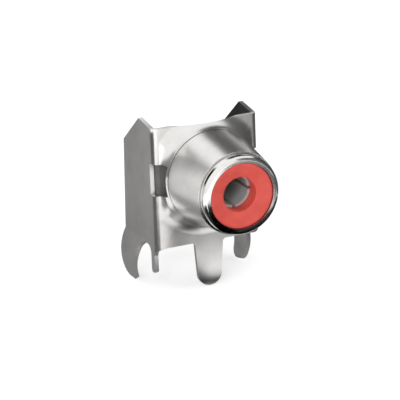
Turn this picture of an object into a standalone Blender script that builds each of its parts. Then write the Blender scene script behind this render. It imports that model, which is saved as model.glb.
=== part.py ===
"""Right-angle phono socket for a circuit board.

A drawn and folded sheet-metal shell holds a red insulator, a rear moulding and
a drawn centre contact. The frame has +Z up from the board, the barrel points
to -Y, and the origin is at the middle of the rear moulding's underside.
"""
import math

import bmesh
import bpy
from mathutils import Vector

MM = 0.001

# Sheet metal of the shell
sheet = 0.45 * MM
bend_radius = 0.6 * MM

# Drawn barrel
barrel_length = 8.65 * MM
barrel_tip_radius = 4.2 * MM
barrel_taper = 0.85 * MM
flare_height = 1.6 * MM
flare_width = 1.7 * MM
lip_step = 0.05 * MM
lip_length = 0.85 * MM
lip_round = 0.28 * MM
lip_flange = 0.69 * MM
groove_width = 0.3 * MM
groove_depth = 0.2 * MM

# Front plate, from the barrel's root to its sides and top, and below the flare
plate_side = 0.25 * MM
plate_head = 0.45 * MM
plate_foot = 0.7 * MM
narrowest_flat = 0.05 * MM

# Side wings
wing_lean = 0.6 * MM
horn_setback = 3.5 * MM
horn_rise = 0.38 * MM
wing_rear_rise = 2.5 * MM
window_half_height = 1.7 * MM
window_front = 1.1 * MM
window_rear = 1.0 * MM

# Legs below the board
snap_leg_width = 4.6 * MM
snap_leg_length = 5.05 * MM
snap_leg_bow = 0.88 * MM
snap_leg_peak = 2.75 * MM
snap_leg_front_taper = 0.9 * MM
snap_leg_rear_taper = 1.0 * MM
snap_leg_tip_length = 1.05 * MM
snap_leg_fillet = 0.7 * MM
leg_arch = 0.65 * MM
tongue_width = 3.2 * MM
tongue_tip_width = 2.7 * MM
tongue_length = 4.9 * MM
tongue_fillet = 0.35 * MM
corner_leg_gap = 0.15 * MM
corner_leg_width = 0.8 * MM
corner_leg_length = 2.8 * MM
corner_leg_chamfer = 0.2 * MM
corner_leg_fillet = 0.9 * MM
corner_leg_front_reach = 1.9 * MM
corner_round = 0.9 * MM
corner_relief = 0.3 * MM
corner_overlap = 0.03 * MM

# Red insulator
mouth_clearance = 0.04 * MM
fit_clearance = 0.06 * MM
insulator_recess = 0.15 * MM
dish_rim = 0.28 * MM
dish_depth = 0.45 * MM
pin_hole_radius = 1.79 * MM
pin_hole_length = 1.5 * MM

# Rear moulding
bore_cover = 0.62 * MM
moulding_depth = 6.9 * MM
moulding_edge = 0.35 * MM
boss_clearance = 0.2 * MM
boss_front = 2.0 * MM
boss_rear = 2.4 * MM
tail_slot_clearance = 0.1 * MM

# Centre contact
contact_bore_radius = 1.6 * MM
contact_wall = 0.3 * MM
contact_clearance = 0.08 * MM
contact_rear = 5.2 * MM
contact_slit = 0.35 * MM
tail_width = 1.0 * MM
tail_thickness = 0.4 * MM
tail_setback = 6.2 * MM
tail_length = 2.1 * MM

# Facets
ring_steps = 96
bend_steps = 5
flare_steps = 9
tip_steps = 6
leg_steps = 6
fillet_steps = 3

# Cutters reach this far past what they cut
overcut = 0.5 * MM

barrel_root_radius = barrel_tip_radius + barrel_taper
flare_reach = barrel_root_radius + flare_width
lip_radius = barrel_tip_radius - lip_step
mouth_radius = lip_radius - lip_flange
half_flat = barrel_root_radius + plate_side
half_width = half_flat + bend_radius
plate_rise = barrel_root_radius + plate_head
axis_height = flare_reach + plate_foot
board_level = -axis_height
wing_start = half_flat + bend_radius * math.pi / 2
corner_leg_start = wing_start + corner_leg_gap
corner_leg_end = corner_leg_start + corner_leg_width
snap_leg_start = corner_leg_end + corner_leg_fillet + leg_arch + snap_leg_fillet
wing_end = snap_leg_start + snap_leg_width
wing_depth = bend_radius + wing_end - wing_start
insulator_face = barrel_length - insulator_recess
pin_hole_end = insulator_face - dish_depth - pin_hole_length
contact_radius = contact_bore_radius + contact_wall
socket_radius = contact_radius + contact_clearance
moulding_top = socket_radius + bore_cover
moulding_front = sheet + fit_clearance
moulding_rear = moulding_front + moulding_depth
plate_setback = (moulding_front + moulding_rear) / 2


def place(x, back, rise):
    """A point from its distance behind the plate's front and above the axis."""
    return Vector((x, back - plate_setback, rise + axis_height))


def clear_scene():
    for thing in list(bpy.data.objects):
        bpy.data.objects.remove(thing, do_unlink=True)


def new_collection(name):
    collection = bpy.data.collections.new(name)
    bpy.context.scene.collection.children.link(collection)
    return collection


def new_material(name, colour, metallic, roughness):
    material = bpy.data.materials.new(name)
    material.use_nodes = True
    shader = material.node_tree.nodes["Principled BSDF"]
    shader.inputs["Base Color"].default_value = (*colour, 1.0)
    shader.inputs["Metallic"].default_value = metallic
    shader.inputs["Roughness"].default_value = roughness
    return material


def object_from_bmesh(name, bm, collection):
    mesh = bpy.data.meshes.new(name)
    bm.to_mesh(mesh)
    bm.free()
    thing = bpy.data.objects.new(name, mesh)
    collection.objects.link(thing)
    return thing


def lay_along_axis(thing):
    """Point an object's own Z axis out of the barrel."""
    thing.rotation_euler = (math.pi / 2, 0.0, 0.0)
    thing.location = place(0.0, 0.0, 0.0)


def turned(name, profile, collection):
    """A closed profile of (radius, distance in front of the plate) turned about the axis."""
    bm = bmesh.new()
    points = [bm.verts.new((radius, 0.0, ahead)) for radius, ahead in profile]
    for start, end in zip(points, points[1:] + points[:1]):
        bm.edges.new((start, end))
    thing = object_from_bmesh(name, bm, collection)
    screw = thing.modifiers.new("Turn", "SCREW")
    screw.steps = ring_steps
    screw.render_steps = ring_steps
    screw.use_merge_vertices = True
    screw.merge_threshold = 0.001 * MM
    lay_along_axis(thing)
    return thing


def cylinder(name, radius, front, rear, collection):
    """A round bar along the axis, between two distances behind the plate's front."""
    bm = bmesh.new()
    bmesh.ops.create_cone(
        bm, cap_ends=True, segments=ring_steps, radius1=radius, radius2=radius, depth=rear - front
    )
    bmesh.ops.translate(bm, vec=(0.0, 0.0, -(front + rear) / 2), verts=bm.verts)
    thing = object_from_bmesh(name, bm, collection)
    lay_along_axis(thing)
    return thing


def box(name, low, high, collection):
    """A box between two corners, each given as (x, behind the plate, above the axis)."""
    start = place(*low)
    end = place(*high)
    bm = bmesh.new()
    bmesh.ops.create_cube(bm, size=1.0)
    bmesh.ops.scale(bm, vec=end - start, verts=bm.verts)
    bmesh.ops.translate(bm, vec=(start + end) / 2, verts=bm.verts)
    return object_from_bmesh(name, bm, collection)


def prism(name, outline, front, rear, collection):
    """An outline of (x, above the axis) drawn out between two distances behind the plate."""
    bm = bmesh.new()
    face = bm.faces.new([bm.verts.new(place(x, front, rise)) for x, rise in outline])
    drawn = bmesh.ops.extrude_face_region(bm, geom=[face])["geom"]
    moved = [item for item in drawn if isinstance(item, bmesh.types.BMVert)]
    bmesh.ops.translate(bm, vec=(0.0, rear - front, 0.0), verts=moved)
    bmesh.ops.recalc_face_normals(bm, faces=bm.faces)
    return object_from_bmesh(name, bm, collection)


def hide_tool(tool):
    """Keep a cutter, or a shape that is joined to another, out of renders."""
    tool.hide_render = True
    tool.display_type = "WIRE"


def shape_with(thing, tool, operation):
    """Join a tool to an object or cut it away."""
    hide_tool(tool)
    step = thing.modifiers.new(tool.name, "BOOLEAN")
    step.object = tool
    step.operation = operation
    step.solver = "EXACT"


def between(low, high, count):
    """The values from low to high in equal steps, without low."""
    return [low + (high - low) * step / count for step in range(1, count + 1)]


def barrel_radius(ahead):
    """The barrel's outer radius at a distance in front of the plate."""
    share = (ahead - flare_height) / (barrel_length - flare_height)
    return barrel_root_radius + (barrel_tip_radius - barrel_root_radius) * share


def bore_radius(ahead):
    """The radius inside the barrel's wall."""
    lean = math.atan2(barrel_root_radius - barrel_tip_radius, barrel_length - flare_height)
    return barrel_radius(ahead) - sheet / math.cos(lean)


def steps_to_corner(rise):
    """How many ring steps lie between the X axis and a corner of the plate."""
    return round(math.atan2(rise, half_flat) / math.tau * ring_steps)


def plate_outline():
    """The plate's edge, one point for each ring step, anticlockwise from the +X side."""
    quarter = ring_steps // 4
    upper = steps_to_corner(plate_rise)
    lower = steps_to_corner(axis_height)
    above = [(half_flat, z) for z in between(0.0, plate_rise, upper)]
    above += [(x, plate_rise) for x in between(half_flat, 0.0, quarter - upper)]
    below = [(half_flat, -z) for z in between(0.0, axis_height, lower)]
    fillet_end = corner_leg_start - corner_leg_front_reach
    tongue_edge = tongue_width / 2 + tongue_fillet
    tongue_steps = (quarter - lower) // 2
    below += [(x, board_level) for x in between(half_flat, fillet_end, 2)]
    below += [(x, board_level) for x in between(fillet_end, tongue_edge, quarter - lower - tongue_steps - 2)]
    below += [(x, board_level) for x in between(tongue_edge, 0.0, tongue_steps)]
    right_side = [(half_flat, 0.0)]
    left_side = [(-half_flat, 0.0)]
    left_above = [(-x, z) for x, z in reversed(above[:-1])]
    left_below = [(-x, z) for x, z in below]
    return right_side + above + left_above + left_side + left_below + below[-2::-1]


def flare_row(edge, turn):
    """The points from the barrel's root down the flare and out to the plate's edge."""
    root = Vector((math.cos(turn), math.sin(turn))) * barrel_root_radius
    distance = Vector(edge).length
    room = distance - barrel_root_radius
    full = flare_width
    if abs(edge[0]) * flare_reach > half_flat * distance:
        full = distance * half_flat / abs(edge[0]) - barrel_root_radius
    if abs(room - full) < narrowest_flat:
        full = room
    reaches_plate = room > full
    last_turn = math.acos(1.0 - min(room / full, 1.0))
    count = flare_steps - 1 if reaches_plate else flare_steps
    row = [place(root.x, -flare_height, root.y)]
    for angle in between(0.0, last_turn, count):
        outward = full * (1.0 - math.cos(angle)) / room
        flat = root.lerp(Vector(edge), min(outward, 1.0))
        row.append(place(flat.x, -flare_height * (1.0 - math.sin(angle)), flat.y))
    if reaches_plate:
        row.append(place(edge[0], 0.0, edge[1]))
    return row


def grid_faces(bm, rows, closed=False):
    """Faces over rows of points; closed joins the last row to the first."""
    lines = [[bm.verts.new(point) for point in row] for row in rows]
    if closed:
        lines.append(lines[0])
    for near, far in zip(lines, lines[1:]):
        for column in range(len(near) - 1):
            bm.faces.new((near[column], near[column + 1], far[column + 1], far[column]))


def add_front(bm):
    """The lip's flange, the barrel, the flare and the plate, as one surface."""
    rows = []
    for step, edge in enumerate(plate_outline()):
        turn = math.tau * step / ring_steps
        row = []
        for radius in (mouth_radius, barrel_tip_radius):
            row.append(place(radius * math.cos(turn), -barrel_length, radius * math.sin(turn)))
        rows.append(row + flare_row(edge, turn))
    grid_faces(bm, rows, closed=True)


def wing_top(back):
    """The top edge of a wing: up to its horn, then down to its rear."""
    if back <= horn_setback:
        share = (back - bend_radius) / (horn_setback - bend_radius)
        return plate_rise + horn_rise * share
    share = (back - horn_setback) / (wing_depth - wing_lean - horn_setback)
    return plate_rise + horn_rise + (wing_rear_rise - plate_rise - horn_rise) * share


def strip_point(side, along, rise, bow=0.0):
    """A point of the sheet's outer face, by its distance along the sheet from the middle."""
    if along <= half_flat:
        return place(side * along, 0.0, rise)
    if along < wing_start:
        turn = (along - half_flat) / bend_radius
        across = half_flat + bend_radius * math.sin(turn)
        return place(side * across, bend_radius * (1.0 - math.cos(turn)), rise)
    return place(side * (half_width + bow), bend_radius + along - wing_start, rise)


def wing_stops():
    """Where the lines of a wing stand along the sheet, after the bend."""
    stops = [corner_leg_start, corner_leg_end, corner_leg_end + corner_leg_fillet]
    stops += [wing_start + horn_setback - bend_radius, snap_leg_start - snap_leg_fillet]
    return sorted(stops + between(snap_leg_start - snap_leg_fillet, wing_end, 4))


def bottom_stops():
    """Where the sheet's bottom edge has its points, along the sheet from the middle."""
    plate = sorted(x for x, z in plate_outline() if z < board_level + 0.001 * MM and x > -0.001 * MM)
    return plate + between(half_flat, wing_start, bend_steps) + wing_stops()


def leaned(stop, share):
    """A stop behind the horn, drawn forward by the lean of the wing's rear edge."""
    horn = wing_start + horn_setback - bend_radius
    return stop - wing_lean * share * max(stop - horn, 0.0) / (wing_end - horn)


def add_wing(bm, side):
    """The bend beside the plate and the flat wing behind it."""
    levels = sorted({z for x, z in plate_outline() if x > half_flat - 0.001 * MM})
    rows = []
    for level in levels:
        bend = [half_flat] + between(half_flat, wing_start, bend_steps)
        row = [strip_point(side, along, level) for along in bend]
        share = (level - board_level) / (plate_rise - board_level)
        for stop in wing_stops():
            top = wing_top(bend_radius + leaned(stop, 1.0) - wing_start)
            rise = board_level + share * (top - board_level)
            row.append(strip_point(side, leaned(stop, share), rise))
        rows.append(row)
    grid_faces(bm, rows)


def fillet(depth, reach, drop):
    """How far a leg's fillet stands out beside it, at a depth below the bottom edge."""
    if depth >= drop:
        return 0.0
    return reach * (1.0 - math.sqrt(1.0 - (1.0 - depth / drop) ** 2))


def add_leg(bm, side, depths, edges_at, bow_at):
    """A leg from the sheet's bottom edge: its two edges and its bow at each depth."""
    first, last = edges_at(0.0)
    stops = bottom_stops()
    stops = [-stop for stop in reversed(stops[1:])] + stops
    top = [stop for stop in stops if first - 0.001 * MM < stop < last + 0.001 * MM]
    rows = [[strip_point(side, along, board_level) for along in top]]
    for depth in depths:
        low, high = edges_at(depth)
        row = [min(max(stop, low), high) for stop in top]
        rows.append([strip_point(side, along, board_level - depth, bow_at(depth)) for along in row])
    grid_faces(bm, rows)


def leg_depths(drop, shoulder, tip):
    """The depths of a leg's rows: down its fillet, its straight part and its rounded tip."""
    turns = between(0.0, math.pi / 2, tip_steps)
    rounded = [shoulder + tip * math.sin(turn) for turn in turns]
    return between(0.0, drop, fillet_steps) + between(drop, shoulder, leg_steps) + rounded


def tip_share(depth, shoulder, tip):
    """How much of a rounded tip's width is left at a depth."""
    return math.sqrt(max(1.0 - max((depth - shoulder) / tip, 0.0) ** 2, 0.0))


def add_snap_leg(bm, side):
    """The leg at the rear of a wing, bowed outward to an arc, with a rounded tip."""
    arc_radius = (snap_leg_bow ** 2 + snap_leg_peak ** 2) / (2 * snap_leg_bow)
    shoulder = snap_leg_length - snap_leg_tip_length
    depths = leg_depths(snap_leg_fillet, shoulder, snap_leg_tip_length)

    def edges_at(depth):
        share = min(depth / shoulder, 1.0)
        front = snap_leg_start + snap_leg_front_taper * share
        rear = wing_end - snap_leg_rear_taper * share
        middle = (front + rear) / 2
        half = (rear - front) / 2 * tip_share(depth, shoulder, snap_leg_tip_length)
        return middle - half - fillet(depth, snap_leg_fillet, snap_leg_fillet), middle + half

    def bow_at(depth):
        fall = depth - snap_leg_peak
        return snap_leg_bow - arc_radius + math.sqrt(arc_radius ** 2 - fall ** 2)

    add_leg(bm, side, depths, edges_at, bow_at)


def add_tongue(bm):
    """The round-ended leg below the middle of the plate."""
    tip = tongue_tip_width / 2
    shoulder = tongue_length - tip
    depths = leg_depths(tongue_fillet, shoulder, tip)

    def edges_at(depth):
        narrowing = (tongue_width - tongue_tip_width) / 2 * min(depth / shoulder, 1.0)
        half = (tongue_width / 2 - narrowing) * tip_share(depth, shoulder, tip)
        half += fillet(depth, tongue_fillet, tongue_fillet)
        return -half, half

    add_leg(bm, 1, depths, edges_at, lambda depth: 0.0)


def add_corner_leg(bm, side):
    """The narrow leg at the front corner of one wing, with a fillet that runs over the bend."""
    shoulder = corner_leg_length - corner_leg_chamfer
    depths = between(0.0, corner_leg_fillet, 2 * fillet_steps) + [shoulder, corner_leg_length]

    def edges_at(depth):
        inset = max(depth - shoulder, 0.0)
        front = corner_leg_start + inset - fillet(depth, corner_leg_front_reach, corner_leg_fillet)
        rear = corner_leg_end - inset + fillet(depth, corner_leg_fillet, corner_leg_fillet)
        return front, rear

    add_leg(bm, side, depths, edges_at, lambda depth: 0.0)


def make_shell(parts, cutters):
    """The drawn and folded shell, as a sheet given its thickness inward."""
    bm = bmesh.new()
    add_front(bm)
    for side in (-1, 1):
        add_wing(bm, side)
        add_snap_leg(bm, side)
    add_tongue(bm)
    add_corner_leg(bm, -1)
    bmesh.ops.remove_doubles(bm, verts=bm.verts, dist=0.002 * MM)
    bmesh.ops.recalc_face_normals(bm, faces=bm.faces)
    flange_face = min(bm.faces, key=lambda face: face.calc_center_median().y)
    if flange_face.normal.y > 0:
        bmesh.ops.reverse_faces(bm, faces=bm.faces)
    shell = object_from_bmesh("shell", bm, parts)
    shell.data.shade_smooth()
    thicken = shell.modifiers.new("Sheet", "SOLIDIFY")
    thicken.thickness = sheet
    thicken.offset = -1.0
    thicken.use_even_offset = True
    tools = [lip_cutter(cutters), window_cutter(-1, cutters), window_cutter(1, cutters)]
    tools.append(corner_cutter(cutters))
    for tool in tools:
        hide_tool(tool)
    step = shell.modifiers.new("Cuts", "BOOLEAN")
    step.operand_type = "COLLECTION"
    step.collection = cutters
    step.operation = "DIFFERENCE"
    step.solver = "EXACT"
    return shell


def lip_cutter(cutters):
    """The ring that leaves a rounded lip with a groove behind it, half a facet round."""
    far = barrel_root_radius + overcut
    lip_rear = barrel_length - lip_length
    groove_rear = lip_rear - groove_width
    floor = barrel_radius(groove_rear) - groove_depth
    past_front = barrel_length + overcut
    profile = [(far, past_front), (far, groove_rear), (floor, groove_rear), (floor, lip_rear)]
    profile += [(lip_radius, lip_rear), (lip_radius, barrel_length - lip_round)]
    for turn in between(0.0, math.pi / 2, 4):
        radius = lip_radius - lip_round * (1.0 - math.cos(turn))
        profile.append((radius, barrel_length - lip_round * (1.0 - math.sin(turn))))
    profile.append((lip_radius - lip_round, past_front))
    cutter = turned("lip_cutter", profile, cutters)
    cutter.rotation_euler.y = math.pi / ring_steps
    return cutter


def window_cutter(side, cutters):
    """The relief window where the flare meets a bend."""
    chord = math.sqrt(bore_radius(flare_height) ** 2 - window_half_height ** 2)
    inner = side * (chord - overcut)
    outer = side * (half_width + overcut)
    low = (min(inner, outer), -window_front, -window_half_height)
    high = (max(inner, outer), window_rear, window_half_height)
    name = "window_cutter_left" if side < 0 else "window_cutter_right"
    return box(name, low, high, cutters)


def corner_cutter(cutters):
    """What rounds off the shell's lower corner on the side without a corner leg."""
    across = half_width + corner_overlap
    rise = board_level - corner_overlap
    outline = []
    for turn in [0.0] + between(0.0, math.pi / 2, tip_steps):
        x = across - corner_round * (1.0 - math.sin(turn))
        outline.append((x, rise + corner_round * (1.0 - math.cos(turn))))
    outline.append((across + overcut, rise + corner_round))
    outline.append((across + overcut, rise - overcut))
    outline.append((across - corner_round, rise - overcut))
    return prism("corner_cutter", outline, -overcut, bend_radius + corner_relief, cutters)


def make_insulator(parts):
    """The red bush that fills the barrel, dished around the pin hole."""
    shoulder = barrel_length - sheet - fit_clearance
    rear = boss_front + fit_clearance
    neck = mouth_radius - mouth_clearance
    profile = [
        (neck - dish_rim, insulator_face),
        (neck, insulator_face),
        (neck, shoulder),
        (bore_radius(shoulder) - fit_clearance, shoulder),
        (bore_radius(rear) - fit_clearance, rear),
        (socket_radius, rear),
        (socket_radius, pin_hole_end),
        (pin_hole_radius, pin_hole_end),
        (pin_hole_radius, insulator_face - dish_depth),
    ]
    return turned("insulator", profile, parts)


def make_moulding(parts, cutters):
    """The dark body between the wings, with a round boss inside the flare."""
    half_block = half_width - sheet - fit_clearance
    low = (-half_block, moulding_front, board_level)
    high = (half_block, moulding_rear, moulding_top)
    moulding = box("rear_moulding", low, high, parts)
    edges = moulding.modifiers.new("Edges", "BEVEL")
    edges.width = moulding_edge
    edges.segments = 2
    boss_radius = bore_radius(boss_front) - boss_clearance
    boss = cylinder("boss", boss_radius, -boss_front, boss_rear, cutters)
    shape_with(moulding, boss, "UNION")
    past_rear = moulding_rear + overcut
    bore = cylinder("bore_cutter", socket_radius, -boss_front - overcut, past_rear, cutters)
    shape_with(moulding, bore, "DIFFERENCE")
    half_slot = tail_width / 2 + tail_slot_clearance
    slot_low = (-half_slot, tail_setback - tail_slot_clearance, board_level - overcut)
    slot = box("tail_slot_cutter", slot_low, (half_slot, past_rear, 0.0), cutters)
    shape_with(moulding, slot, "DIFFERENCE")
    return moulding


def make_contact(parts, cutters):
    """The slit cup behind the pin hole, with the strap and tail it is soldered by."""
    mouth = pin_hole_end - contact_clearance
    profile = [
        (contact_bore_radius, mouth),
        (contact_radius, mouth),
        (contact_radius, -contact_rear),
        (0.0, -contact_rear),
        (0.0, contact_wall - contact_rear),
        (contact_bore_radius, contact_wall - contact_rear),
    ]
    contact = turned("centre_contact", profile, parts)
    half_tail = tail_width / 2
    tail_rear = tail_setback + tail_thickness
    strap_top = tail_thickness - contact_radius
    strap_low = (-half_tail, contact_rear - contact_wall, -contact_radius)
    strap = box("strap", strap_low, (half_tail, tail_rear, strap_top), cutters)
    tail_low = (-half_tail, tail_setback, board_level - tail_length)
    tail = box("tail", tail_low, (half_tail, tail_rear, strap_top), cutters)
    shape_with(contact, strap, "UNION")
    shape_with(contact, tail, "UNION")
    half_slit = contact_slit / 2
    past_wall = contact_radius + overcut
    past_mouth = -mouth - overcut
    upright_low = (-half_slit, past_mouth, -past_wall)
    upright = box("slit_upright", upright_low, (half_slit, 0.0, past_wall), cutters)
    level_low = (-past_wall, past_mouth, -half_slit)
    level = box("slit_level", level_low, (past_wall, 0.0, half_slit), cutters)
    shape_with(contact, upright, "DIFFERENCE")
    shape_with(contact, level, "DIFFERENCE")
    return contact


def main():
    clear_scene()
    parts = new_collection("phono_socket")
    shell_cutters = new_collection("shell_cutters")
    cutters = new_collection("cutters")
    nickel = new_material("nickel", (0.72, 0.71, 0.69), 1.0, 0.22)
    red = new_material("red_plastic", (0.66, 0.08, 0.06), 0.0, 0.4)
    dark = new_material("dark_plastic", (0.09, 0.085, 0.08), 0.0, 0.55)
    tinned = new_material("tinned_brass", (0.6, 0.58, 0.53), 1.0, 0.35)
    make_shell(parts, shell_cutters).data.materials.append(nickel)
    make_insulator(parts).data.materials.append(red)
    make_moulding(parts, cutters).data.materials.append(dark)
    make_contact(parts, cutters).data.materials.append(tinned)


main()
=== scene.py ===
"""Looks for the right-angle phono socket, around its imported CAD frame."""
import math

import bmesh
import bpy
from mathutils import Matrix, Vector


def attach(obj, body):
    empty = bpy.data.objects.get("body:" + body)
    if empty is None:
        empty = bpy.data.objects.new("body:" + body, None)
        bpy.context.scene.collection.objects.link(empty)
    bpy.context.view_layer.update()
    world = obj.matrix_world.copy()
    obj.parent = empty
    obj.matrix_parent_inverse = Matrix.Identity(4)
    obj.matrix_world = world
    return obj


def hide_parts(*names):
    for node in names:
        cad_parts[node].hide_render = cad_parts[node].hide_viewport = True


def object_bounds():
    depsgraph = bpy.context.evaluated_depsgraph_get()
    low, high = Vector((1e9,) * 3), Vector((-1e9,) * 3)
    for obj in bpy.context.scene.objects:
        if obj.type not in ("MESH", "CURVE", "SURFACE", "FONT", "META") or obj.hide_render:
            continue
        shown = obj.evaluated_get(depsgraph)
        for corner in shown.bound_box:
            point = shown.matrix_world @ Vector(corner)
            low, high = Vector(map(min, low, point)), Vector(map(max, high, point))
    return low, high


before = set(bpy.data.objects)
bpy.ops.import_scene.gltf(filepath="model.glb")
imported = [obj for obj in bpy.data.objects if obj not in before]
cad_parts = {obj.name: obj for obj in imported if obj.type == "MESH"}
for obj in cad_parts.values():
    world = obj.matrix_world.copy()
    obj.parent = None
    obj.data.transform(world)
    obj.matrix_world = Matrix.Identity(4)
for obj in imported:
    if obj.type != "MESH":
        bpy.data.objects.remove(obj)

cad_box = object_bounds()

MM = 0.001

# Sheet metal of the shell
sheet = 0.45 * MM
bend_radius = 0.6 * MM

# Drawn barrel
barrel_length = 8.65 * MM
barrel_tip_radius = 4.2 * MM
barrel_taper = 0.85 * MM
flare_height = 1.6 * MM
flare_width = 1.7 * MM
lip_step = 0.05 * MM
lip_length = 0.85 * MM
lip_flange = 0.69 * MM
groove_width = 0.3 * MM
groove_depth = 0.2 * MM

# Front plate, from the barrel's root to its sides and top, and below the flare
plate_side = 0.25 * MM
plate_head = 0.45 * MM
plate_foot = 0.7 * MM
narrowest_flat = 0.05 * MM

# Side wings
wing_lean = 0.6 * MM
horn_setback = 3.5 * MM
horn_rise = 0.38 * MM
wing_rear_rise = 2.5 * MM
window_half_height = 1.7 * MM
window_front = 1.1 * MM
window_rear = 1.0 * MM

# Legs below the board
snap_leg_width = 4.6 * MM
snap_leg_length = 5.05 * MM
snap_leg_bow = 0.88 * MM
snap_leg_peak = 2.75 * MM
snap_leg_front_taper = 0.9 * MM
snap_leg_rear_taper = 1.0 * MM
snap_leg_tip_length = 1.05 * MM
snap_leg_fillet = 0.7 * MM
leg_arch = 0.65 * MM
tongue_width = 3.2 * MM
tongue_tip_width = 2.7 * MM
tongue_length = 4.9 * MM
tongue_fillet = 0.35 * MM
corner_leg_gap = 0.15 * MM
corner_leg_width = 0.8 * MM
corner_leg_length = 2.8 * MM
corner_leg_chamfer = 0.2 * MM
corner_leg_fillet = 0.9 * MM
corner_leg_front_reach = 1.9 * MM
corner_round = 0.9 * MM
corner_relief = 0.3 * MM
corner_overlap = 0.03 * MM

# Red insulator
mouth_clearance = 0.04 * MM
fit_clearance = 0.06 * MM
insulator_recess = 0.15 * MM
dish_rim = 0.28 * MM
dish_depth = 0.45 * MM
pin_hole_radius = 1.79 * MM
pin_hole_length = 1.5 * MM

# Rear moulding, as far as it places the other pieces
moulding_depth = 6.9 * MM
boss_front = 2.0 * MM

# Centre contact, as far as the insulator goes round it
contact_bore_radius = 1.6 * MM
contact_wall = 0.3 * MM
contact_clearance = 0.08 * MM

# Facets
ring_steps = 240
bend_steps = 12
flare_steps = 22
tip_steps = 12
leg_steps = 12
fillet_steps = 6
fillet_columns = 2
snap_leg_columns = 4

# The lip's round front
lip_bead = 0.44 * MM
lip_bead_steps = 14

# The most that cut edges are eased: the sheet's shortest edges hold it to far less than this
edge_round = 0.07 * MM
edge_steps = 3

# The insulator's rounded edges
dish_rim_round = 0.3 * MM
dish_rim_steps = 6
mouth_rim_round = 0.08 * MM
mouth_rim_steps = 4
hole_edge_round = 0.12 * MM
hole_edge_steps = 5

# Turns between faces from which an edge is eased, and from which it is shaded as sharp
eased_angle = math.radians(60)
sharp_angle = math.radians(38)

# Points nearer than these are joined: on a turned ring, where the sheet's parts meet, and
# on the eased sheet before it is cut
ring_weld = 0.0005 * MM
seam_weld = 0.002 * MM
weld_reach = 0.003 * MM

# How far off a line of the sheet a point may lie and still count as on it
tolerance = 0.001 * MM

# The fine step at the barrel's root
crease_width = 0.14 * MM
crease_depth = 0.07 * MM

# The photograph's camera, aimed at the point on the barrel's axis in the plate's front face
camera_azimuth = 23.748
camera_elevation = 18.376
camera_roll = -2.056
camera_distance = 0.25
pixels_per_metre = 9721.0
origin_pixel = (206.654, 172.514)
photo_pixels = 400
sensor_width = 36.0
clip_near = 0.005
clip_far = 20.0

# Colours of the shell, the insulator, the rear moulding and the contact
pure_white = (1.0, 1.0, 1.0)
plate_pale = (0.9, 0.89, 0.87)
plate_deep = (0.8, 0.79, 0.775)
# The plate's crevice colour is painted shade, laid into crevices, grooves and corners by ambient
# occlusion
plate_crevice_shade = (0.14, 0.135, 0.13)
red_pale = (0.76, 0.11, 0.085)
red_deep = (0.64, 0.08, 0.062)
dark_pale = (0.15, 0.145, 0.135)
dark_deep = (0.11, 0.107, 0.1)
contact_pale = (0.7, 0.79, 0.78)
contact_deep = (0.55, 0.63, 0.62)
# The contact's crevice colour is a light painted shade, laid into its hollows by ambient occlusion
contact_crevice_shade = (0.8, 0.8, 0.8)

# The range that most of a noise's values lie in
noise_low = 0.3
noise_high = 0.7

# Painted shade in the crevices of the plated sheet, from closed in to open to the air
crevice_reach = 0.3 * MM
crevice_samples = 8
crevice_closed = 0.25
crevice_open = 0.85

# The plate's grain, drawn out upward, and its slow ripple
rolled_stretch = (1.0, 1.0, 0.25)
ripple_depth = 0.05 * MM

# How far behind the lip its gloss fades, in the materials' own millimetres
lip_gloss_fade = 0.4

# How light goes through the moulded plastic, for red, green and blue
glow_radius = (1.0, 0.35, 0.25)
glow_reach = 0.6 * MM

# Light levels, the floor, and what the lamps are aimed at
world_level = 0.6
floor_lift = 0.5
floor_colour = (0.9, 0.9, 0.9)
floor_roughness = 0.9
floor_gap = 0.02 * MM
aim_ahead = 2.0 * MM
aim_drop = 1.0 * MM

# Half the side of the unit square that the floor and the cards are made from
half_side = 0.5

# Cutters reach this far past what they cut
overcut = 0.5 * MM

barrel_root_radius = barrel_tip_radius + barrel_taper
flare_reach = barrel_root_radius + flare_width
lip_radius = barrel_tip_radius - lip_step
mouth_radius = lip_radius - lip_flange
half_flat = barrel_root_radius + plate_side
half_width = half_flat + bend_radius
plate_rise = barrel_root_radius + plate_head
axis_height = flare_reach + plate_foot
board_level = -axis_height
wing_start = half_flat + bend_radius * math.pi / 2
corner_leg_start = wing_start + corner_leg_gap
corner_leg_end = corner_leg_start + corner_leg_width
snap_leg_start = corner_leg_end + corner_leg_fillet + leg_arch + snap_leg_fillet
wing_end = snap_leg_start + snap_leg_width
wing_depth = bend_radius + wing_end - wing_start
insulator_face = barrel_length - insulator_recess
pin_hole_end = insulator_face - dish_depth - pin_hole_length
contact_radius = contact_bore_radius + contact_wall
socket_radius = contact_radius + contact_clearance
moulding_front = sheet + fit_clearance
moulding_rear = moulding_front + moulding_depth
plate_setback = (moulding_front + moulding_rear) / 2


def place(x, back, rise):
    """A point from its distance behind the plate's front and above the axis."""
    return Vector((x, back - plate_setback, rise + axis_height))


def object_from_bmesh(name, bm):
    """A new object in the scene, with the finished mesh."""
    mesh = bpy.data.meshes.new(name)
    bm.to_mesh(mesh)
    bm.free()
    thing = bpy.data.objects.new(name, mesh)
    bpy.context.scene.collection.objects.link(thing)
    return thing


def turned(name, profile):
    """A closed profile of (radius, distance in front of the plate) turned about the axis."""
    bm = bmesh.new()
    rings = []
    for step in range(ring_steps):
        turn = math.tau * (step + 0.5) / ring_steps
        ring = [place(r * math.cos(turn), -ahead, r * math.sin(turn)) for r, ahead in profile]
        rings.append([bm.verts.new(point) for point in ring])
    for near, far in zip(rings, rings[1:] + rings[:1]):
        for column in range(len(profile)):
            after = (column + 1) % len(profile)
            bm.faces.new((near[column], far[column], far[after], near[after]))
    bmesh.ops.remove_doubles(bm, verts=bm.verts, dist=ring_weld)
    bmesh.ops.recalc_face_normals(bm, faces=bm.faces)
    return object_from_bmesh(name, bm)


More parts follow.
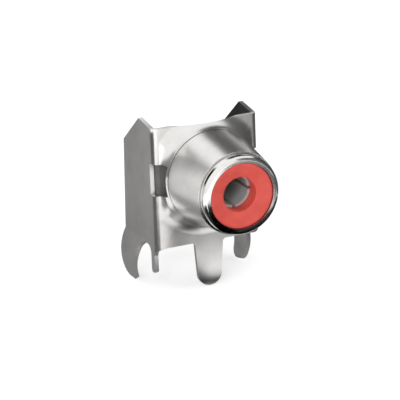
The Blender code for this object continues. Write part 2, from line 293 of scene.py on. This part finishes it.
def box(name, low, high):
    """A box between two corners, each given as (x, behind the plate, above the axis)."""
    start = place(*low)
    end = place(*high)
    bm = bmesh.new()
    bmesh.ops.create_cube(bm, size=1.0)
    bmesh.ops.scale(bm, vec=end - start, verts=bm.verts)
    bmesh.ops.translate(bm, vec=(start + end) / 2, verts=bm.verts)
    return object_from_bmesh(name, bm)


def prism(name, outline, front, rear):
    """An outline of (x, above the axis) drawn out between two distances behind the plate."""
    bm = bmesh.new()
    face = bm.faces.new([bm.verts.new(place(x, front, rise)) for x, rise in outline])
    drawn = bmesh.ops.extrude_face_region(bm, geom=[face])["geom"]
    moved = [item for item in drawn if isinstance(item, bmesh.types.BMVert)]
    bmesh.ops.translate(bm, vec=(0.0, rear - front, 0.0), verts=moved)
    bmesh.ops.recalc_face_normals(bm, faces=bm.faces)
    return object_from_bmesh(name, bm)


def settle(thing):
    """Turn an object's modifiers into its mesh, with sharp edges only at real corners."""
    graph = bpy.context.evaluated_depsgraph_get()
    mesh = bpy.data.meshes.new_from_object(thing.evaluated_get(graph))
    thing.modifiers.clear()
    thing.data = mesh
    mesh.shade_smooth()
    mesh.set_sharp_from_angle(angle=sharp_angle)
    even = thing.modifiers.new("Normals", "WEIGHTED_NORMAL")
    even.mode = "FACE_AREA"
    even.keep_sharp = True


def between(low, high, count):
    """The values from low to high in equal steps, without low."""
    return [low + (high - low) * step / count for step in range(1, count + 1)]


def barrel_radius(ahead):
    """The barrel's outer radius at a distance in front of the plate."""
    share = (ahead - flare_height) / (barrel_length - flare_height)
    return barrel_root_radius + (barrel_tip_radius - barrel_root_radius) * share


def bore_radius(ahead):
    """The radius inside the barrel's wall."""
    lean = math.atan2(barrel_root_radius - barrel_tip_radius, barrel_length - flare_height)
    return barrel_radius(ahead) - sheet / math.cos(lean)


def steps_to_corner(rise):
    """How many ring steps lie between the X axis and a corner of the plate."""
    return round(math.atan2(rise, half_flat) / math.tau * ring_steps)


def plate_outline():
    """The plate's edge, one point for each ring step, anticlockwise from the +X side."""
    quarter = ring_steps // 4
    upper = steps_to_corner(plate_rise)
    lower = steps_to_corner(axis_height)
    above = [(half_flat, z) for z in between(0.0, plate_rise, upper)]
    above += [(x, plate_rise) for x in between(half_flat, 0.0, quarter - upper)]
    below = [(half_flat, -z) for z in between(0.0, axis_height, lower)]
    fillet_end = corner_leg_start - corner_leg_front_reach
    tongue_edge = tongue_width / 2 + tongue_fillet
    tongue_steps = (quarter - lower) // 2
    middle_steps = quarter - lower - tongue_steps - fillet_columns
    foot = between(half_flat, fillet_end, fillet_columns)
    foot += between(fillet_end, tongue_edge, middle_steps)
    foot += between(tongue_edge, 0.0, tongue_steps)
    below += [(x, board_level) for x in foot]
    right_side = [(half_flat, 0.0)]
    left_side = [(-half_flat, 0.0)]
    left_above = [(-x, z) for x, z in reversed(above[:-1])]
    left_below = [(-x, z) for x, z in below]
    return right_side + above + left_above + left_side + left_below + below[-2::-1]


def flare_row(edge, turn):
    """The points from the barrel's root down the flare and out to the plate's edge."""
    root = Vector((math.cos(turn), math.sin(turn))) * barrel_root_radius
    distance = Vector(edge).length
    room = distance - barrel_root_radius
    full = flare_width
    if abs(edge[0]) * flare_reach > half_flat * distance:
        full = distance * half_flat / abs(edge[0]) - barrel_root_radius
    if abs(room - full) < narrowest_flat:
        full = room
    reaches_plate = room > full
    last_turn = math.acos(1.0 - min(room / full, 1.0))
    count = flare_steps - 1 if reaches_plate else flare_steps
    row = [place(root.x, -flare_height, root.y)]
    for angle in between(0.0, last_turn, count):
        outward = full * (1.0 - math.cos(angle)) / room
        flat = root.lerp(Vector(edge), min(outward, 1.0))
        row.append(place(flat.x, -flare_height * (1.0 - math.sin(angle)), flat.y))
    if reaches_plate:
        row.append(place(edge[0], 0.0, edge[1]))
    return row


def grid_faces(bm, rows, closed=False):
    """Faces over rows of points; closed joins the last row to the first."""
    lines = [[bm.verts.new(point) for point in row] for row in rows]
    if closed:
        lines.append(lines[0])
    for near, far in zip(lines, lines[1:]):
        for column in range(len(near) - 1):
            bm.faces.new((near[column], near[column + 1], far[column + 1], far[column]))


def add_front(bm):
    """The lip's flange, the barrel, the flare and the plate, as one surface."""
    rows = []
    for step, edge in enumerate(plate_outline()):
        turn = math.tau * step / ring_steps
        row = []
        for radius in (mouth_radius, barrel_tip_radius):
            row.append(place(radius * math.cos(turn), -barrel_length, radius * math.sin(turn)))
        rows.append(row + flare_row(edge, turn))
    grid_faces(bm, rows, closed=True)


def wing_top(back):
    """The top edge of a wing: up to its horn, then down to its rear."""
    if back <= horn_setback:
        share = (back - bend_radius) / (horn_setback - bend_radius)
        return plate_rise + horn_rise * share
    share = (back - horn_setback) / (wing_depth - wing_lean - horn_setback)
    return plate_rise + horn_rise + (wing_rear_rise - plate_rise - horn_rise) * share


def strip_point(side, along, rise, bow=0.0):
    """A point of the sheet's outer face, by its distance along the sheet from the middle."""
    if along <= half_flat:
        return place(side * along, 0.0, rise)
    if along < wing_start:
        turn = (along - half_flat) / bend_radius
        across = half_flat + bend_radius * math.sin(turn)
        return place(side * across, bend_radius * (1.0 - math.cos(turn)), rise)
    return place(side * (half_width + bow), bend_radius + along - wing_start, rise)


def wing_stops():
    """Where the lines of a wing stand along the sheet, after the bend."""
    stops = [corner_leg_start, corner_leg_end, corner_leg_end + corner_leg_fillet]
    leg_fillet_start = snap_leg_start - snap_leg_fillet
    stops += [wing_start + horn_setback - bend_radius, leg_fillet_start]
    return sorted(stops + between(leg_fillet_start, wing_end, snap_leg_columns))


def bottom_stops():
    """Where the sheet's bottom edge has its points, along the sheet from the middle."""
    bottom = [x for x, z in plate_outline() if z < board_level + tolerance]
    plate = sorted(x for x in bottom if x > -tolerance)
    return plate + between(half_flat, wing_start, bend_steps) + wing_stops()


def leaned(stop, share):
    """A stop behind the horn, drawn forward by the lean of the wing's rear edge."""
    horn = wing_start + horn_setback - bend_radius
    return stop - wing_lean * share * max(stop - horn, 0.0) / (wing_end - horn)


def add_wing(bm, side):
    """The bend beside the plate and the flat wing behind it."""
    levels = sorted({z for x, z in plate_outline() if x > half_flat - tolerance})
    rows = []
    for level in levels:
        bend = [half_flat] + between(half_flat, wing_start, bend_steps)
        row = [strip_point(side, along, level) for along in bend]
        share = (level - board_level) / (plate_rise - board_level)
        for stop in wing_stops():
            top = wing_top(bend_radius + leaned(stop, 1.0) - wing_start)
            rise = board_level + share * (top - board_level)
            row.append(strip_point(side, leaned(stop, share), rise))
        rows.append(row)
    grid_faces(bm, rows)


def fillet(depth, reach, drop):
    """How far a leg's fillet stands out beside it, at a depth below the bottom edge."""
    if depth >= drop:
        return 0.0
    return reach * (1.0 - math.sqrt(1.0 - (1.0 - depth / drop) ** 2))


def add_leg(bm, side, depths, edges_at, bow_at):
    """A leg from the sheet's bottom edge: its two edges and its bow at each depth."""
    first, last = edges_at(0.0)
    stops = bottom_stops()
    stops = [-stop for stop in reversed(stops[1:])] + stops
    top = [stop for stop in stops if first - tolerance < stop < last + tolerance]
    rows = [[strip_point(side, along, board_level) for along in top]]
    for depth in depths:
        low, high = edges_at(depth)
        rise = board_level - depth
        row = [min(max(stop, low), high) for stop in top]
        rows.append([strip_point(side, along, rise, bow_at(depth)) for along in row])
    grid_faces(bm, rows)


def leg_depths(drop, shoulder, tip):
    """The depths of a leg's rows: down its fillet, its straight part and its rounded tip."""
    turns = between(0.0, math.pi / 2, tip_steps)
    rounded = [shoulder + tip * math.sin(turn) for turn in turns]
    return between(0.0, drop, fillet_steps) + between(drop, shoulder, leg_steps) + rounded


def tip_share(depth, shoulder, tip):
    """How much of a rounded tip's width is left at a depth."""
    return math.sqrt(max(1.0 - max((depth - shoulder) / tip, 0.0) ** 2, 0.0))


def add_snap_leg(bm, side):
    """The leg at the rear of a wing, bowed outward to an arc, with a rounded tip."""
    arc_radius = (snap_leg_bow ** 2 + snap_leg_peak ** 2) / (2 * snap_leg_bow)
    shoulder = snap_leg_length - snap_leg_tip_length
    depths = leg_depths(snap_leg_fillet, shoulder, snap_leg_tip_length)

    def edges_at(depth):
        share = min(depth / shoulder, 1.0)
        front = snap_leg_start + snap_leg_front_taper * share
        rear = wing_end - snap_leg_rear_taper * share
        middle = (front + rear) / 2
        half = (rear - front) / 2 * tip_share(depth, shoulder, snap_leg_tip_length)
        return middle - half - fillet(depth, snap_leg_fillet, snap_leg_fillet), middle + half

    def bow_at(depth):
        fall = depth - snap_leg_peak
        return snap_leg_bow - arc_radius + math.sqrt(arc_radius ** 2 - fall ** 2)

    add_leg(bm, side, depths, edges_at, bow_at)


def add_tongue(bm):
    """The round-ended leg below the middle of the plate."""
    tip = tongue_tip_width / 2
    shoulder = tongue_length - tip
    depths = leg_depths(tongue_fillet, shoulder, tip)

    def edges_at(depth):
        narrowing = (tongue_width - tongue_tip_width) / 2 * min(depth / shoulder, 1.0)
        half = (tongue_width / 2 - narrowing) * tip_share(depth, shoulder, tip)
        half += fillet(depth, tongue_fillet, tongue_fillet)
        return -half, half

    add_leg(bm, 1, depths, edges_at, lambda depth: 0.0)


def add_corner_leg(bm, side):
    """The narrow leg at the front corner of one wing, with a fillet that runs over the bend."""
    shoulder = corner_leg_length - corner_leg_chamfer
    depths = between(0.0, corner_leg_fillet, 2 * fillet_steps) + [shoulder, corner_leg_length]

    def edges_at(depth):
        inset = max(depth - shoulder, 0.0)
        front = corner_leg_start + inset - fillet(depth, corner_leg_front_reach, corner_leg_fillet)
        rear = corner_leg_end - inset + fillet(depth, corner_leg_fillet, corner_leg_fillet)
        return front, rear

    add_leg(bm, side, depths, edges_at, lambda depth: 0.0)


def make_shell_skin():
    """The drawn and folded shell, finely made, for the shell node."""
    bm = bmesh.new()
    add_front(bm)
    for side in (-1, 1):
        add_wing(bm, side)
        add_snap_leg(bm, side)
    add_tongue(bm)
    add_corner_leg(bm, -1)
    bmesh.ops.remove_doubles(bm, verts=bm.verts, dist=seam_weld)
    bmesh.ops.recalc_face_normals(bm, faces=bm.faces)
    flange_face = min(bm.faces, key=lambda face: face.calc_center_median().y)
    if flange_face.normal.y > 0:
        bmesh.ops.reverse_faces(bm, faces=bm.faces)
    skin = object_from_bmesh("shell_skin", bm)
    thicken = skin.modifiers.new("Sheet", "SOLIDIFY")
    thicken.thickness = sheet
    thicken.offset = -1.0
    thicken.use_even_offset = True
    soften = skin.modifiers.new("Edges", "BEVEL")
    soften.limit_method = "ANGLE"
    soften.angle_limit = eased_angle
    soften.width = edge_round
    soften.segments = edge_steps
    join = skin.modifiers.new("Join", "WELD")
    join.merge_threshold = weld_reach
    tools = [lip_cutter(), crease_cutter(), window_cutter(-1), window_cutter(1), corner_cutter()]
    cuts = bpy.data.collections.new("cuts")
    for tool in tools:
        cuts.objects.link(tool)
    step = skin.modifiers.new("Cuts", "BOOLEAN")
    step.operand_type = "COLLECTION"
    step.collection = cuts
    step.operation = "DIFFERENCE"
    step.solver = "EXACT"
    settle(skin)
    for tool in tools:
        bpy.data.objects.remove(tool, do_unlink=True)
    bpy.data.collections.remove(cuts)
    return skin


def lip_cutter():
    """The ring that leaves a rounded lip with a groove behind it, half a facet round."""
    far = barrel_root_radius + overcut
    lip_rear = barrel_length - lip_length
    groove_rear = lip_rear - groove_width
    floor = barrel_radius(groove_rear) - groove_depth
    past_front = barrel_length + overcut
    profile = [(far, past_front), (far, groove_rear), (floor, groove_rear), (floor, lip_rear)]
    profile += [(lip_radius, lip_rear), (lip_radius, barrel_length - lip_bead)]
    for turn in between(0.0, math.pi / 2, lip_bead_steps):
        radius = lip_radius - lip_bead * (1.0 - math.cos(turn))
        profile.append((radius, barrel_length - lip_bead * (1.0 - math.sin(turn))))
    profile.append((lip_radius - lip_bead, past_front))
    return turned("lip_cutter", profile)


def window_cutter(side):
    """The relief window where the flare meets a bend."""
    chord = math.sqrt(bore_radius(flare_height) ** 2 - window_half_height ** 2)
    inner = side * (chord - overcut)
    outer = side * (half_width + overcut)
    low = (min(inner, outer), -window_front, -window_half_height)
    high = (max(inner, outer), window_rear, window_half_height)
    name = "window_cutter_left" if side < 0 else "window_cutter_right"
    return box(name, low, high)


def corner_cutter():
    """What rounds off the shell's lower corner on the side without a corner leg."""
    across = half_width + corner_overlap
    rise = board_level - corner_overlap
    outline = []
    for turn in [0.0] + between(0.0, math.pi / 2, tip_steps):
        x = across - corner_round * (1.0 - math.sin(turn))
        outline.append((x, rise + corner_round * (1.0 - math.cos(turn))))
    outline.append((across + overcut, rise + corner_round))
    outline.append((across + overcut, rise - overcut))
    outline.append((across - corner_round, rise - overcut))
    return prism("corner_cutter", outline, -overcut, bend_radius + corner_relief)


def crease_cutter():
    """The fine step left where the barrel's drawing ends and its flare begins."""
    half = crease_width / 2
    floor = barrel_root_radius - crease_depth
    far = barrel_root_radius + overcut
    front = flare_height + half
    rear = flare_height - half
    return turned("crease_cutter", [(floor, rear), (far, rear), (far, front), (floor, front)])


def rounded(corner, before, after, radius, steps):
    """Points that round a profile's corner between its two neighbours."""
    corner = Vector(corner)
    start = (Vector(before) - corner).normalized()
    end = (Vector(after) - corner).normalized()
    reach = radius / math.tan(start.angle(end) / 2)
    first = corner + start * reach
    last = corner + end * reach
    points = []
    for share in [0.0] + between(0.0, 1.0, steps):
        near = first.lerp(corner, share)
        points.append(tuple(near.lerp(corner.lerp(last, share), share)))
    return points


def make_insulator_skin():
    """The red bush, with its rim and its hole's edge rounded."""
    shoulder = barrel_length - sheet - fit_clearance
    rear = boss_front + fit_clearance
    neck = mouth_radius - mouth_clearance
    dish_floor = insulator_face - dish_depth
    rim_inner = (neck - dish_rim, insulator_face)
    rim_outer = (neck, insulator_face)
    hole_edge = (pin_hole_radius, dish_floor)
    hole_rear = (pin_hole_radius, pin_hole_end)
    profile = rounded(rim_inner, hole_edge, rim_outer, dish_rim_round, dish_rim_steps)
    profile += rounded(rim_outer, rim_inner, (neck, shoulder), mouth_rim_round, mouth_rim_steps)
    profile += [
        (neck, shoulder),
        (bore_radius(shoulder) - fit_clearance, shoulder),
        (bore_radius(rear) - fit_clearance, rear),
        (socket_radius, rear),
        (socket_radius, pin_hole_end),
        hole_rear,
    ]
    profile += rounded(hole_edge, hole_rear, rim_inner, hole_edge_round, hole_edge_steps)
    skin = turned("insulator_skin", profile)
    settle(skin)
    return skin


def socket(shader, name, value):
    """Set a shader's input to one value."""
    shader.inputs[name].default_value = value


def add_node(tree, kind, **settings):
    """A new shader node with its settings."""
    node = tree.nodes.new(kind)
    for key, value in settings.items():
        setattr(node, key, value)
    return node


def millimetres(tree, stretch=(1.0, 1.0, 1.0)):
    """The object's own coordinates in millimetres, stretched along each axis."""
    where = add_node(tree, "ShaderNodeTexCoord")
    scale = add_node(tree, "ShaderNodeMapping")
    scale.inputs["Scale"].default_value = [1000.0 * s for s in stretch]
    tree.links.new(where.outputs["Object"], scale.inputs["Vector"])
    return scale.outputs["Vector"]


def noise(tree, vector, scale, detail, rough=0.5):
    """Cloudy noise over the object's coordinates."""
    node = add_node(tree, "ShaderNodeTexNoise")
    node.inputs["Scale"].default_value = scale
    node.inputs["Detail"].default_value = detail
    node.inputs["Roughness"].default_value = rough
    tree.links.new(vector, node.inputs["Vector"])
    return node.outputs["Fac"]


def ramp(tree, factor, stops):
    """A colour that follows a value between two stops of (value, colour)."""
    node = add_node(tree, "ShaderNodeValToRGB")
    for element, (position, colour) in zip(node.color_ramp.elements, stops):
        element.position = position
        element.color = (*colour, 1.0)
    tree.links.new(factor, node.inputs["Fac"])
    return node.outputs["Color"]


def spread(tree, factor, low, high, from_low=noise_low, from_high=noise_high):
    """A value taken from one range to another."""
    node = add_node(tree, "ShaderNodeMapRange")
    node.inputs["From Min"].default_value = from_low
    node.inputs["From Max"].default_value = from_high
    node.inputs["To Min"].default_value = low
    node.inputs["To Max"].default_value = high
    tree.links.new(factor, node.inputs["Value"])
    return node.outputs["Result"]


def relief(tree, shader, height, strength, distance):
    """Small bumps on a surface, from a height."""
    node = add_node(tree, "ShaderNodeBump")
    node.inputs["Strength"].default_value = strength
    node.inputs["Distance"].default_value = distance
    tree.links.new(height, node.inputs["Height"])
    tree.links.new(node.outputs["Normal"], shader.inputs["Normal"])


def new_material(name):
    """A material with its node tree and its shader."""
    material = bpy.data.materials.new(name)
    material.use_nodes = True
    tree = material.node_tree
    return material, tree, tree.nodes["Principled BSDF"]


def plated_metal(name, pale, deep, crevice_shade, rough_low, rough_high, ripple, metallic, lip_gloss):
    """Plate over rolled sheet: faint stains, uneven gloss, painted shade in its crevices, a slow
    ripple.
    """
    material, tree, shader = new_material(name)
    socket(shader, "Metallic", metallic)
    where = millimetres(tree)
    stains = noise(tree, where, scale=0.55, detail=4.0, rough=0.6)
    # Painted shade: ambient occlusion darkens the base colour in crevices, grooves and corners
    open_to_air = add_node(tree, "ShaderNodeAmbientOcclusion", only_local=True)
    open_to_air.samples = crevice_samples
    open_to_air.inputs["Distance"].default_value = crevice_reach
    painted_crevice_shade = add_node(tree, "ShaderNodeMix", data_type="RGBA", blend_type="MULTIPLY")
    painted_crevice_shade.inputs["Factor"].default_value = 1.0
    stained = ramp(tree, stains, [(noise_low, deep), (noise_high, pale)])
    tree.links.new(stained, painted_crevice_shade.inputs["A"])
    crevice_shade_stops = [(crevice_closed, crevice_shade), (crevice_open, pure_white)]
    tree.links.new(ramp(tree, open_to_air.outputs["AO"], crevice_shade_stops), painted_crevice_shade.inputs["B"])
    tree.links.new(painted_crevice_shade.outputs["Result"], shader.inputs["Base Color"])
    grain = noise(tree, millimetres(tree, rolled_stretch), scale=9.0, detail=5.0, rough=0.65)
    depth = add_node(tree, "ShaderNodeSeparateXYZ")
    tree.links.new(where, depth.inputs["Vector"])
    lip_rear = place(0.0, lip_length - barrel_length, 0.0).y / MM
    gloss_end = lip_rear + lip_gloss_fade
    worked = spread(tree, depth.outputs["Y"], lip_gloss, 1.0, lip_rear, gloss_end)
    rough = add_node(tree, "ShaderNodeMath", operation="MULTIPLY")
    tree.links.new(spread(tree, grain, rough_low, rough_high), rough.inputs[0])
    tree.links.new(worked, rough.inputs[1])
    tree.links.new(rough.outputs[0], shader.inputs["Roughness"])
    relief(tree, shader, noise(tree, where, scale=0.45, detail=1.0), ripple, ripple_depth)
    return material


def moulded_plastic(name, pale, deep, rough_low, rough_high, grain_depth, glow_through):
    """Injection-moulded plastic: a slight cloud in the colour and a fine skin."""
    material, tree, shader = new_material(name)
    where = millimetres(tree)
    cloud = noise(tree, where, scale=0.7, detail=4.0, rough=0.6)
    clouded = ramp(tree, cloud, [(noise_low, deep), (noise_high, pale)])
    tree.links.new(clouded, shader.inputs["Base Color"])
    socket(shader, "Subsurface Weight", glow_through)
    socket(shader, "Subsurface Radius", glow_radius)
    socket(shader, "Subsurface Scale", glow_reach)
    grain = noise(tree, where, scale=14.0, detail=4.0, rough=0.6)
    tree.links.new(spread(tree, grain, rough_low, rough_high), shader.inputs["Roughness"])
    relief(tree, shader, grain, strength=0.35, distance=grain_depth)
    return material


def fill_slots(thing, material):
    """Give an object one material."""
    thing.data.materials.clear()
    thing.data.materials.append(material)


def aim(thing, target):
    """Turn an object so that its -Z axis points at a target."""
    direction = Vector(target) - thing.location
    thing.rotation_euler = direction.to_track_quat("-Z", "Y").to_euler()


def area_light(name, position, target, size, power):
    """A round white lamp, aimed at a target, that metal doesn't mirror."""
    data = bpy.data.lights.new(name, "AREA")
    data.shape = "DISK"
    data.size = size
    data.energy = power
    lamp = bpy.data.objects.new(name, data)
    bpy.context.scene.collection.objects.link(lamp)
    lamp.location = position
    aim(lamp, target)
    lamp.visible_glossy = False


def soft_edge(tree, value, softness):
    """One inside, falling smoothly to nothing at both ends of a zero-to-one value."""
    distance = add_node(tree, "ShaderNodeMath", operation="PINGPONG")
    distance.inputs[1].default_value = half_side
    tree.links.new(value, distance.inputs[0])
    fade = add_node(tree, "ShaderNodeMapRange", interpolation_type="SMOOTHSTEP")
    fade.inputs["From Max"].default_value = softness
    tree.links.new(distance.outputs[0], fade.inputs["Value"])
    return fade.outputs["Result"]


def card(name, corner, across, upward, level, soft):
    """A soft-edged studio card in the metal's reflections: one corner and two sides, in mm."""
    bm = bmesh.new()
    bmesh.ops.create_grid(bm, x_segments=1, y_segments=1, size=half_side)
    bmesh.ops.translate(bm, vec=(half_side, half_side, 0.0), verts=bm.verts)
    thing = object_from_bmesh(name, bm)
    across = Vector(across) * MM
    upward = Vector(upward) * MM
    facing = across.cross(upward).normalized() * MM
    axes = Matrix((across, upward, facing)).transposed().to_4x4()
    thing.matrix_world = Matrix.Translation(Vector(corner) * MM) @ axes
    material, tree, shader = new_material(name)
    where = add_node(tree, "ShaderNodeTexCoord")
    split = add_node(tree, "ShaderNodeSeparateXYZ")
    tree.links.new(where.outputs["Generated"], split.inputs["Vector"])
    cover = add_node(tree, "ShaderNodeMath", operation="MULTIPLY")
    tree.links.new(soft_edge(tree, split.outputs["X"], soft[0]), cover.inputs[0])
    tree.links.new(soft_edge(tree, split.outputs["Y"], soft[1]), cover.inputs[1])
    clear = add_node(tree, "ShaderNodeBsdfTransparent")
    glow = add_node(tree, "ShaderNodeEmission")
    glow.inputs["Color"].default_value = (level, level, level, 1.0)
    mix = add_node(tree, "ShaderNodeMixShader")
    tree.links.new(cover.outputs[0], mix.inputs["Fac"])
    tree.links.new(clear.outputs[0], mix.inputs[1])
    tree.links.new(glow.outputs[0], mix.inputs[2])
    tree.links.new(mix.outputs[0], tree.nodes["Material Output"].inputs["Surface"])
    tree.nodes.remove(shader)
    fill_slots(thing, material)
    thing.visible_camera = False
    thing.visible_diffuse = False
    thing.visible_shadow = False
    thing.visible_transmission = False


def either(tree, first, second):
    """The greater of two values: one where either of two rays' tests is one."""
    node = add_node(tree, "ShaderNodeMath", operation="MAXIMUM")
    tree.links.new(first, node.inputs[0])
    tree.links.new(second, node.inputs[1])
    return node.outputs[0]


def make_world():
    """White behind everything that is seen or mirrored, and a plain level for the rest."""
    world = bpy.data.worlds.new("studio")
    bpy.context.scene.world = world
    world.use_nodes = True
    tree = world.node_tree
    plain = tree.nodes["Background"]
    plain.inputs["Color"].default_value = (*pure_white, 1.0)
    plain.inputs["Strength"].default_value = world_level
    white = add_node(tree, "ShaderNodeBackground")
    white.inputs["Color"].default_value = (*pure_white, 1.0)
    path = add_node(tree, "ShaderNodeLightPath")
    seen = either(tree, path.outputs["Is Camera Ray"], path.outputs["Is Glossy Ray"])
    shown = either(tree, seen, path.outputs["Is Transmission Ray"])
    mix = add_node(tree, "ShaderNodeMixShader")
    tree.links.new(shown, mix.inputs["Fac"])
    tree.links.new(plain.outputs["Background"], mix.inputs[1])
    tree.links.new(white.outputs["Background"], mix.inputs[2])
    tree.links.new(mix.outputs["Shader"], tree.nodes["World Output"].inputs["Surface"])


def make_floor():
    """A plain pale floor under the legs that turns white away from the object's shadow."""
    bm = bmesh.new()
    bmesh.ops.create_grid(bm, x_segments=1, y_segments=1, size=half_side)
    floor = object_from_bmesh("floor", bm)
    floor.location = (0.0, 0.0, cad_box[0].z - floor_gap)
    material, tree, shader = new_material("pale_floor")
    socket(shader, "Base Color", (*floor_colour, 1.0))
    socket(shader, "Roughness", floor_roughness)
    socket(shader, "Emission Color", (*pure_white, 1.0))
    path = add_node(tree, "ShaderNodeLightPath")
    seen = either(tree, path.outputs["Is Camera Ray"], path.outputs["Is Glossy Ray"])
    scaled = add_node(tree, "ShaderNodeMath", operation="MULTIPLY")
    scaled.inputs[1].default_value = floor_lift
    tree.links.new(seen, scaled.inputs[0])
    tree.links.new(scaled.outputs[0], shader.inputs["Emission Strength"])
    fill_slots(floor, material)


def make_camera():
    """The photograph's viewpoint, aimed from the barrel's axis at the plate."""
    data = bpy.data.cameras.new("camera")
    camera = bpy.data.objects.new("camera", data)
    bpy.context.scene.collection.objects.link(camera)
    azimuth = math.radians(camera_azimuth)
    rise = math.radians(camera_elevation)
    roll = math.radians(camera_roll)
    right = Vector((math.cos(azimuth), -math.sin(azimuth), 0.0))
    level = math.cos(rise)
    back = Vector((-math.sin(azimuth) * level, -math.cos(azimuth) * level, math.sin(rise)))
    up = back.cross(right)
    rolled_right = right * math.cos(roll) + up * math.sin(roll)
    rolled_up = up * math.cos(roll) - right * math.sin(roll)
    axes = Matrix((rolled_right, rolled_up, back)).transposed().to_4x4()
    position = place(0.0, 0.0, 0.0) + back * camera_distance
    camera.matrix_world = Matrix.Translation(position) @ axes
    data.sensor_width = sensor_width
    data.lens = sensor_width * pixels_per_metre * camera_distance / photo_pixels
    data.shift_x = (photo_pixels / 2 - origin_pixel[0]) / photo_pixels
    data.shift_y = (origin_pixel[1] - photo_pixels / 2) / photo_pixels
    data.clip_start = clip_near
    data.clip_end = clip_far
    bpy.context.scene.camera = camera


bpy.context.scene.view_settings.view_transform = "Standard"
make_camera()

shell = make_shell_skin()
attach(shell, "root")
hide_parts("shell")
fill_slots(shell, plated_metal(
    "bright_plate", plate_pale, plate_deep, plate_crevice_shade,
    rough_low=0.27, rough_high=0.35, ripple=0.3, metallic=1.0, lip_gloss=0.45))

insulator = make_insulator_skin()
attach(insulator, "root")
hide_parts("insulator")
fill_slots(insulator, moulded_plastic(
    "red_moulding", red_pale, red_deep,
    rough_low=0.32, rough_high=0.48, grain_depth=0.004 * MM, glow_through=0.4))

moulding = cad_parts["rear_moulding"]
fill_slots(moulding, moulded_plastic(
    "dark_moulding", dark_pale, dark_deep,
    rough_low=0.45, rough_high=0.65, grain_depth=0.008 * MM, glow_through=0.0))

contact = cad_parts["centre_contact"]
fill_slots(contact, plated_metal(
    "dull_plate", contact_pale, contact_deep, contact_crevice_shade,
    rough_low=0.4, rough_high=0.55, ripple=0.2, metallic=0.35, lip_gloss=1.0))

middle = place(0.0, -aim_ahead, -aim_drop)
make_world()
make_floor()
area_light("key", middle + Vector((-0.09, -0.135, 0.08)), middle, size=0.06, power=0.095)
area_light("left", middle + Vector((-0.15, -0.09, 0.04)), middle, size=0.04, power=0.05)
area_light("fill", middle + Vector((0.13, -0.09, 0.05)), middle, size=0.1, power=0.03)

# Each card's corner and two sides in mm, its brightness, and how far its edges fade
card("behind_left", (-15.5, 10.0, -9.0), (8.4, 3.6, 0.0), (0.0, 0.0, 23.0), 0.21, (0.1, 0.05))
card("behind_left_high", (-21.0, 8.8, 8.3), (12.4, 5.3, 0.0), (0.0, 0.0, 21.0), 0.0, (0.22, 0.2))
card("left_flank", (-32.0, 8.0, -9.0), (16.0, 7.0, 0.0), (0.0, 0.0, 22.0), 0.65, (0.2, 0.2))
card("bend_shade", (-6.25, -4.35, -4.9), (0.0, 1.45, 0.0), (0.0, 0.0, 17.6), 0.12, (0.08, 0.02))
card("window_edge", (-5.65, -4.55, 2.7), (1.05, 0.0, 0.0), (0.0, 0.0, 5.5), 1.0, (0.08, 0.08))
card("behind_middle", (-5.5, 9.0, -4.9), (11.0, 0.0, 0.0), (0.0, 0.0, 20.0), 0.0, (0.08, 0.06))
card("behind_right", (1.0, 16.0, -12.0), (42.0, -4.0, 0.0), (0.0, 0.0, 80.0), 0.04, (0.1, 0.08))
card("top_edge", (0.0, 15.4, 14.5), (25.0, -2.5, 0.0), (0.0, 0.0, 5.5), 1.0, (0.1, 0.15))
card("right", (34.0, 14.0, -12.0), (-4.0, -50.0, 0.0), (0.0, 0.0, 52.0), 0.08, (0.12, 0.1))
card("front_right", (10.0, -44.0, 2.0), (40.0, 16.0, 0.0), (0.0, 0.0, 45.0), 0.18, (0.08, 0.1))
card("floor_near", (-30.0, -33.0, -4.9), (62.0, 0.0, 0.0), (0.0, 30.0, 0.0), 0.02, (0.08, 0.04))
card("floor_close", (0.2, -17.5, -4.7), (8.5, 0.0, 0.0), (0.0, 12.9, 0.0), 1.0, (0.11, 0.18))
card("floor_far", (15.0, -70.0, -4.9), (60.0, 0.0, 0.0), (0.0, 36.0, 0.0), 0.1, (0.08, 0.15))
card("floor_behind", (-22.0, -5.0, -4.86), (34.0, 0.0, 0.0), (0.0, 27.0, 0.0), 0.24, (0.05, 0.04))
card("floor_right", (7.0, -6.0, -4.8), (34.0, 0.0, 0.0), (0.0, 24.0, 0.0), 0.04, (0.1, 0.1))
card("below_lip", (-5.0, -18.0, 0.8), (11.0, 0.0, 0.0), (0.0, 7.0, 0.0), 0.0, (0.12, 0.12))
card("before_lip", (-5.4, -20.0, -4.9), (8.4, 0.0, 0.0), (0.0, 0.0, 9.8), 0.0, (0.08, 0.06))
card("before_lip_low", (0.0, -20.2, -4.9), (11.0, 0.0, 0.0), (0.0, 0.0, 7.9), 0.03, (0.1, 0.1))
card("white_strip", (-6.4, -8.9, -3.6), (3.55, 1.5, 0.0), (0.0, 0.0, 5.6), 1.0, (0.15, 0.06))
card("white_foot", (-6.6, -3.9, -4.75), (1.6, 0.0, 0.0), (2.3, -5.4, 0.0), 0.9, (0.12, 0.05))
card("floor_left", (-15.0, -10.0, -4.8), (9.2, 0.0, 0.0), (0.0, 7.5, 0.0), 0.32, (0.15, 0.15))
